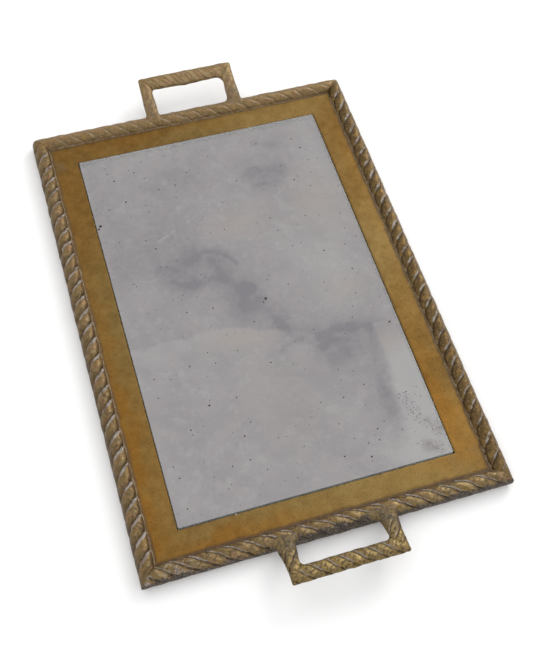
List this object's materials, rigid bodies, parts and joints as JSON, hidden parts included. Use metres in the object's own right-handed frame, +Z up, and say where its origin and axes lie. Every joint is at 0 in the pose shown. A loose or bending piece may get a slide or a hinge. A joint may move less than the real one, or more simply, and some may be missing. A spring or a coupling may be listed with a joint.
{
  "type": "vanity tray",
  "caption": "Rectangular vanity tray: an aged mirror let into a flat brass border, with a raised twisted-rope rim and a rope loop handle at each short end.",
  "frame": {"origin": "centre of the tray's footprint, handles included, on the face that it rests on", "axes": "+Y along the tray's long side towards the back handle, +X across it to the right, +Z up out of the mirror"},
  "size_m": [0.305, 0.5054, 0.0287],
  "materials": {
    "rope_brass": "dull cast antique brass, brown in the hollows, pale residue in the grooves",
    "handle_brass": "cast antique brass, rubbed brighter on the crests, small casting pits",
    "plate_brass": "aged brass sheet, blotched orange-brown near the rope and olive near the mirror",
    "base_brass": "unpolished rolled brass sheet, darkened",
    "solder": "dull soft-solder bead with pale residue",
    "mirror_glass": "clear flat glass with a ground edge and faint scratches",
    "silvering": "antiqued silver, lilac-grey, clouded with blue-grey smudges and black foxing specks",
    "mastic": "matt dark mastic",
    "screw_brass": "turned brass countersunk screw",
    "dowel_brass": "drawn brass rod",
    "felt": "dark green wool felt"
  },
  "bodies": {
    "root": {"rope_rail_left": "rope_brass", "rope_rail_right": "rope_brass", "rope_rail_front": "rope_brass", "rope_rail_back": "rope_brass", "front_handle_bar": "handle_brass", "front_handle_left_post": "handle_brass", "front_handle_right_post": "handle_brass", "back_handle_bar": "handle_brass", "back_handle_left_post": "handle_brass", "back_handle_right_post": "handle_brass", "mirror_surround": "plate_brass", "base_plate": "base_brass", "rim_solder_bead": "solder", "mirror_glass": "mirror_glass", "mirror_silvering": "silvering", "mirror_mastic": "mastic", "base_screws": "screw_brass", "handle_dowels": "dowel_brass", "base_felt": "felt"}
  },
  "joints": []
}
